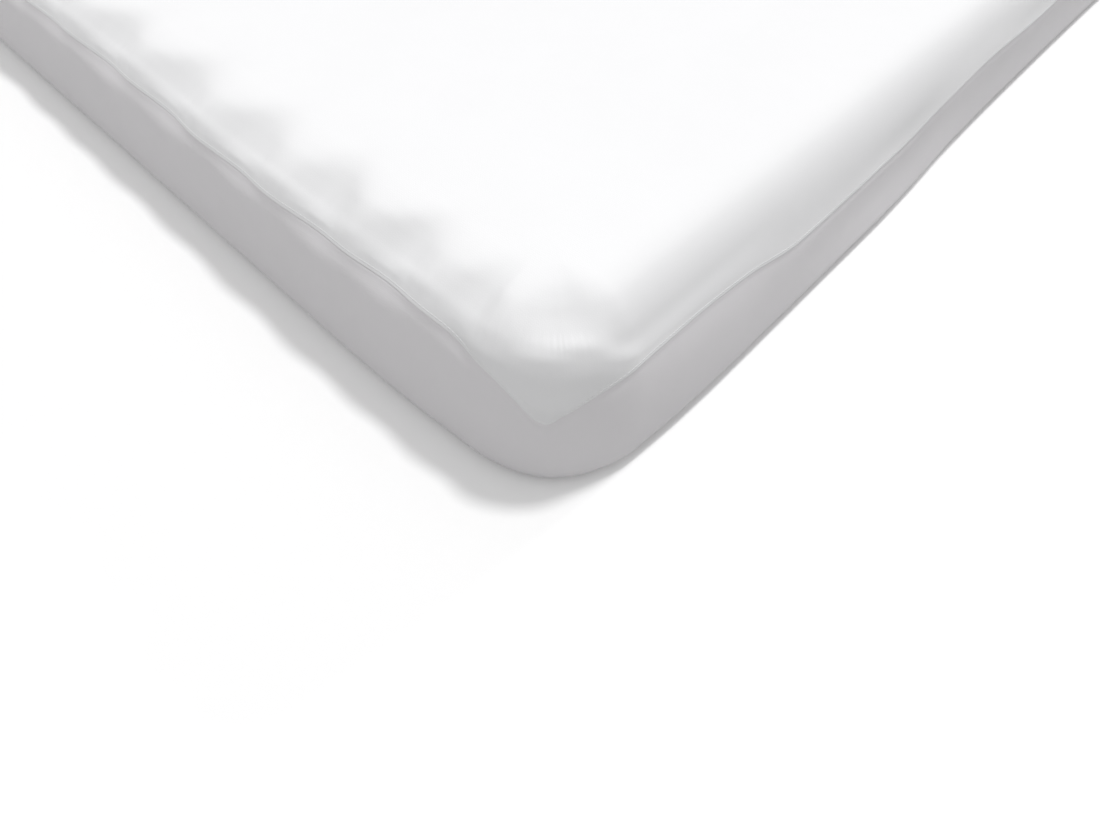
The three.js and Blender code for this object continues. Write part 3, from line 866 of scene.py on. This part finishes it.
def skirt_rows(walk):
    """The rows of the skirt's section: the lap and the seam behind the panel, the fall, shares of
    the way down to the belly, the turn under the bottom edge, the floor, the casing and hem."""
    crease, seam = edge_points(walk)
    drop = np.linalg.norm(crease - seam, axis=-1, keepdims=True)
    up = (crease - seam) / drop
    square = np.stack([up[:, 1], -up[:, 0]], axis=-1)
    step = EDGE_SUNK * hanging(drop) + EDGE_THICKNESS + GAP
    behind = seam + square * step
    lap = behind + up * LAP + square * LAP_BACK
    belly = edge_line(5, walk.place)
    end = smooth((END_LEAN_FROM - walk.place) / END_LEAN_BLEND)
    side = smooth((walk.place - SIDE_LEAN_FROM) / SIDE_LEAN_BLEND)
    rows = [lap, behind]
    for down, *leans in SKIRT_SHARES:
        lean = leans @ np.stack([end, 1 - end - side, side])
        height = seam[:, 1] + (BELLY_HEIGHT - seam[:, 1]) * down
        rows.append(np.stack([belly + (seam[:, 0] - belly) * lean, height], axis=-1))
    share = FALL / (seam[:, 1] - rows[2][:, 1])
    fall = seam + (rows[2] - seam) * share[:, None]
    fall[:, :1] += FALL_SHARE * step
    rows[2:2] = [fall]
    level = 0 * belly
    rows += [
        np.stack([belly, level + BELLY_HEIGHT], axis=-1),
        np.stack([belly + FLOOR_TURN[0], level + FLOOR_TURN[1]], axis=-1),
        np.stack([belly + FLOOR_INSET, level], axis=-1),
        np.stack([level + HEM_INSET - HEM_WIDTH, level], axis=-1),
        np.stack([level + HEM_INSET, level], axis=-1),
    ]
    return np.stack(rows)


skirt_walk = walk_round((2.1, 0.0016), (2.9, 0.0015))
skirt_outer = spline(skirt_rows(skirt_walk), SKIRT_SAMPLES)
skirt_outer[..., 1] = np.maximum(skirt_outer[..., 1], 0)
skirt_normal = section_normals(skirt_outer)
skirt_inner = (skirt_outer - skirt_normal * SKIRT_THICKNESS)[list(SKIRT_INNER_ROWS)]
skirt_section = np.concatenate([skirt_outer, skirt_inner])
under = smooth((skirt_section[..., 0] - GATHER_FROM) / GATHER_BLEND)
under = under * (skirt_section[..., 1] < GATHER_BELOW)
gather = GATHER_HEIGHT * (1 + uneven(skirt_walk.walked, GATHERS, seed=4.0))
skirt_section[..., 1] += gather * under
skirt_loops = set_out(skirt_walk, skirt_section[..., 0], skirt_section[..., 1])

skirt_arc = arc_length(skirt_outer)
skirt_arc = np.concatenate([skirt_arc, skirt_arc[list(SKIRT_INNER_ROWS)]])
skirt_along = np.append(skirt_walk.walked, PERIMETER)
skirt_down = np.concatenate([skirt_arc, skirt_arc[:, :1]], axis=1)
skirt_chart = np.stack([skirt_along + 0 * skirt_down, skirt_down], axis=-1) * MM
skirt_steps = [
    2 if row in SKIRT_PLAIN_ROWS else 1 for row in (*range(len(skirt_outer)), *SKIRT_INNER_ROWS)
]
skirt = closed_body("skirt_cloth", skirt_loops, skirt_steps, skirt_chart)
# Polyester stretch knit: a thin smooth jersey, a shade greyer than the panel.
skirt_cloth = cloth_material(
    "Polyester stretch knit",
    SKIRT_PALE,
    SKIRT_DARK,
    roughness=0.8,
    sheen=0.08,
    rib=SKIRT_RIB_MM * MM,
    rib_depth=0.04 * MM,
    fuzz_depth=0.03 * MM,
)
skirt.data.materials.append(skirt_cloth)
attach(skirt, "root")
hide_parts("skirt")

# The hem's stitches, which close its casing, on the underside of the skirt.
hem_row = sum(SKIRT_SAMPLES[:-1])
hem_line = skirt_loops[hem_row].copy()
hem_line[:, 2] = np.maximum(hem_line[:, 2], HEM_STITCH_HEIGHT)
downwards = np.tile((0.0, 0.0, -1.0), (len(hem_line), 1))
hem_stitches = row_of_stitches("hem_stitches", hem_line, downwards, white_thread)

# ---------------------------------------------------------------------------------------------
# The stage: a wide floor of matt white paper and a pale ceiling of light that is brightest
# overhead, with one lamp above and two fills along the bed, and the camera over one corner.

FLOOR_HALF = 30.0
FLOOR_GREY = "CBCBCB"  # as it lights the part, and where it is looked at it is white
FLOOR_GLOW = 0.05
DOME_EDGE = 0.085
DOME_RISE = 0.645
CAMERA_LENS = 20.29
CAMERA_BESIDE = 0.1137  # out from the long side, in metres
CAMERA_BEFORE = 0.1244  # and out from the end
CAMERA_HEIGHT = 0.4002
CAMERA_TURN = (34.8, 0, 43.84)


def looked_at(tree):
    """1 where a ray comes straight from the eye, off a gloss or through glass, and else 0."""
    rays = add_node(tree, "ShaderNodeLightPath").outputs
    seen = calculate(tree, "MAXIMUM", rays["Is Camera Ray"], rays["Is Glossy Ray"])
    return calculate(tree, "MAXIMUM", seen, rays["Is Transmission Ray"])


floor_mesh = bpy.data.meshes.new("floor")
floor_mesh.from_pydata(
    [(x * FLOOR_HALF, y * FLOOR_HALF, 0) for x, y in ((-1, -1), (1, -1), (1, 1), (-1, 1))],
    [],
    [(0, 1, 2, 3)],
)
floor = finish_piece("floor", floor_mesh)
paper = bpy.data.materials.new("Matt white studio paper")
tree = bare_tree(paper)
grey = add_node(tree, "ShaderNodeBsdfDiffuse", Color=linear(FLOOR_GREY)).outputs[0]
white = add_node(tree, "ShaderNodeBsdfDiffuse", Color=(1, 1, 1, 1)).outputs[0]
glow = add_node(tree, "ShaderNodeEmission", Strength=FLOOR_GLOW).outputs[0]
bright = add_node(tree, "ShaderNodeAddShader", i0=white, i1=glow).outputs[0]
mixed = add_node(tree, "ShaderNodeMixShader", i0=looked_at(tree), i1=grey, i2=bright).outputs[0]
add_node(tree, "ShaderNodeOutputMaterial", Surface=mixed)
floor.data.materials.append(paper)

world = bpy.data.worlds.new("Studio")
bpy.context.scene.world = world
tree = bare_tree(world)
# The ceiling of light has the strength DOME_EDGE + DOME_RISE * height of the ray.
ray = add_node(tree, "ShaderNodeTexCoord").outputs["Generated"]
ray_height = add_node(tree, "ShaderNodeSeparateXYZ", Vector=ray).outputs[2]
strength = calculate(tree, "MULTIPLY_ADD", ray_height, DOME_RISE, DOME_EDGE, use_clamp=True)
dome = add_node(tree, "ShaderNodeBackground", Color=(1, 1, 1, 1), Strength=strength).outputs[0]
backdrop = add_node(tree, "ShaderNodeBackground", Color=(1, 1, 1, 1), Strength=1.0).outputs[0]
mixed = add_node(tree, "ShaderNodeMixShader", i0=looked_at(tree), i1=dome, i2=backdrop).outputs[0]
add_node(tree, "ShaderNodeOutputWorld", Surface=mixed)


def sun(name, strength, height, width):
    """A lamp that shines along the bed. Its height in degrees is counted from the floor beyond
    the far end, over the top and down to the near end, so that above 90 it shines from there."""
    data = bpy.data.lights.new(name, "SUN")
    data.energy = strength * np.pi
    data.angle = np.radians(width)
    lamp = bpy.data.objects.new(name, data)
    lamp.rotation_euler = np.radians((height - 90, 0, 0))
    bpy.context.scene.collection.objects.link(lamp)


sun("overhead_lamp", strength=0.40, height=74.4, width=7)
sun("far_fill", strength=0.28, height=25, width=10)
sun("near_fill", strength=0.07, height=145, width=10)

camera_data = bpy.data.cameras.new("camera")
camera_data.lens = CAMERA_LENS
camera_data.sensor_width = 36
camera = bpy.data.objects.new("camera", camera_data)
camera.location = (skirt_high.x + CAMERA_BESIDE, skirt_low.y - CAMERA_BEFORE, CAMERA_HEIGHT)
camera.rotation_euler = np.radians(CAMERA_TURN)
bpy.context.scene.collection.objects.link(camera)
bpy.context.scene.camera = camera
bpy.context.scene.view_settings.view_transform = "Standard"
